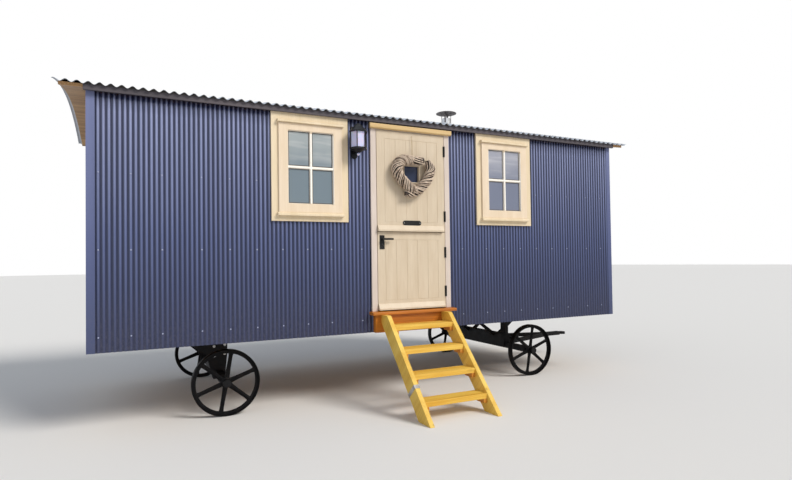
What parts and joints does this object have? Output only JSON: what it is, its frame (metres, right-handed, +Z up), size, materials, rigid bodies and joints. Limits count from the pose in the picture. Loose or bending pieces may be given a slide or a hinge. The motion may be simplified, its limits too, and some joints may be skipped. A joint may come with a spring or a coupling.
{
  "type": "shepherds hut",
  "caption": "Corrugated-clad living hut on spoked iron wheels with a curved roof, stable door, two windows, stove flue, timber steps and a steered front axle with drawbar.",
  "frame": {"origin": "centre of the whole part's box, on the ground", "axes": "+X along the hut towards the drawbar, -Y the side with the door and steps, +Z up"},
  "size_m": [6.1148, 3.3556, 3.3881],
  "materials": {
    "navy_sheet": "satin paint",
    "navy_trim": "satin paint",
    "galvanised_sheet": "weathered galvanised",
    "stove_steel": "dull",
    "charcoal_board": "matte paint",
    "roof_boards": "stained",
    "wall_timber": "sawn",
    "floor_timber": "sawn",
    "cream_joinery": "eggshell paint",
    "window_glass": "clear",
    "sill_timber": "stained",
    "black_iron": "black",
    "willow": "bare twigs",
    "twine": "natural",
    "lantern_metal": "satin black",
    "frosted_glass": "frosted",
    "step_timber": "treated",
    "strap_steel": "galvanised",
    "black_steel": "satin black",
    "wheel_iron": "black paint"
  },
  "bodies": {
    "hut": {"chassis_rails": "black_steel", "chassis_cross_members": "black_steel", "fixed_axle": "black_steel", "fixed_axle_brackets": "black_steel", "floor_deck": "floor_timber", "front_wall_left": "wall_timber", "front_wall_right": "wall_timber", "front_wall_header": "wall_timber", "back_wall": "wall_timber", "left_end_wall": "wall_timber", "right_end_wall": "wall_timber", "front_cladding": "navy_sheet", "back_cladding": "navy_sheet", "left_end_cladding": "navy_sheet", "right_end_cladding": "navy_sheet", "corner_flashings": "navy_trim", "eaves_fascias": "charcoal_board", "roof_deck": "roof_boards", "roof_sheets": "galvanised_sheet", "flue_pipe": "stove_steel", "flue_flashing": "galvanised_sheet", "flue_cowl": "stove_steel", "left_window_frame": "cream_joinery", "left_window_sash": "cream_joinery", "left_window_glass": "window_glass", "right_window_frame": "cream_joinery", "right_window_sash": "cream_joinery", "right_window_glass": "window_glass", "door_frame": "cream_joinery", "door_hood": "cream_joinery", "door_sill": "sill_timber", "sill_apron": "sill_timber", "frame_hinges": "black_iron", "lantern_body": "lantern_metal", "lantern_glass": "frosted_glass", "step_stringers": "step_timber", "step_treads": "step_timber", "step_cleats": "step_timber", "stringer_strap": "strap_steel", "turntable_upper": "black_steel"},
    "upper_door": {"upper_door_leaf": "cream_joinery", "upper_door_pane": "window_glass", "upper_leaf_hinges": "black_iron", "name_plate": "black_iron", "heart_wreath": "willow", "wreath_twine": "twine"},
    "lower_door": {"lower_door_leaf": "cream_joinery", "lower_leaf_hinges": "black_iron", "handle_plate": "black_iron"},
    "lever": {"door_lever": "black_iron"},
    "forecarriage": {"turntable_lower": "black_steel", "steered_axle": "black_steel", "drawbar": "black_steel"},
    "wheel_front_left": {"front_left_wheel": "wheel_iron"},
    "wheel_back_left": {"back_left_wheel": "wheel_iron"},
    "wheel_front_right": {"front_right_wheel": "wheel_iron"},
    "wheel_back_right": {"back_right_wheel": "wheel_iron"}
  },
  "joints": [
    {"name": "upper_leaf_swing", "type": "hinge", "parent": "hut", "child": "upper_door", "pos_m": [0.372, -0.73234, 2.1], "axis": [0, 0, 1], "range_deg": [0, 110]},
    {"name": "lower_leaf_swing", "type": "hinge", "parent": "hut", "child": "lower_door", "pos_m": [0.372, -0.73234, 1.25], "axis": [0, 0, 1], "range_deg": [0, 110]},
    {"name": "lever_turn", "type": "hinge", "parent": "lower_door", "child": "lever", "pos_m": [-0.3415, -0.74484, 1.562], "axis": [0, 1, 0], "range_deg": [0, 35], "stiffness_Nm_per_rad": 0.8},
    {"name": "steering_turn", "type": "hinge", "parent": "hut", "child": "forecarriage", "pos_m": [1.6525, 0.44716, 0.6], "axis": [0, 0, 1], "range_deg": [-60, 60]},
    {"name": "front_left_spin", "type": "hinge", "parent": "hut", "child": "wheel_front_left", "pos_m": [-1.7725, -0.48284, 0.293], "axis": [0, 1, 0], "continuous": true},
    {"name": "back_left_spin", "type": "hinge", "parent": "hut", "child": "wheel_back_left", "pos_m": [-1.7725, 1.37716, 0.293], "axis": [0, 1, 0], "continuous": true},
    {"name": "front_right_spin", "type": "hinge", "parent": "forecarriage", "child": "wheel_front_right", "pos_m": [1.6525, -0.48284, 0.293], "axis": [0, 1, 0], "continuous": true},
    {"name": "back_right_spin", "type": "hinge", "parent": "forecarriage", "child": "wheel_back_right", "pos_m": [1.6525, 1.37716, 0.293], "axis": [0, 1, 0], "continuous": true}
  ]
}
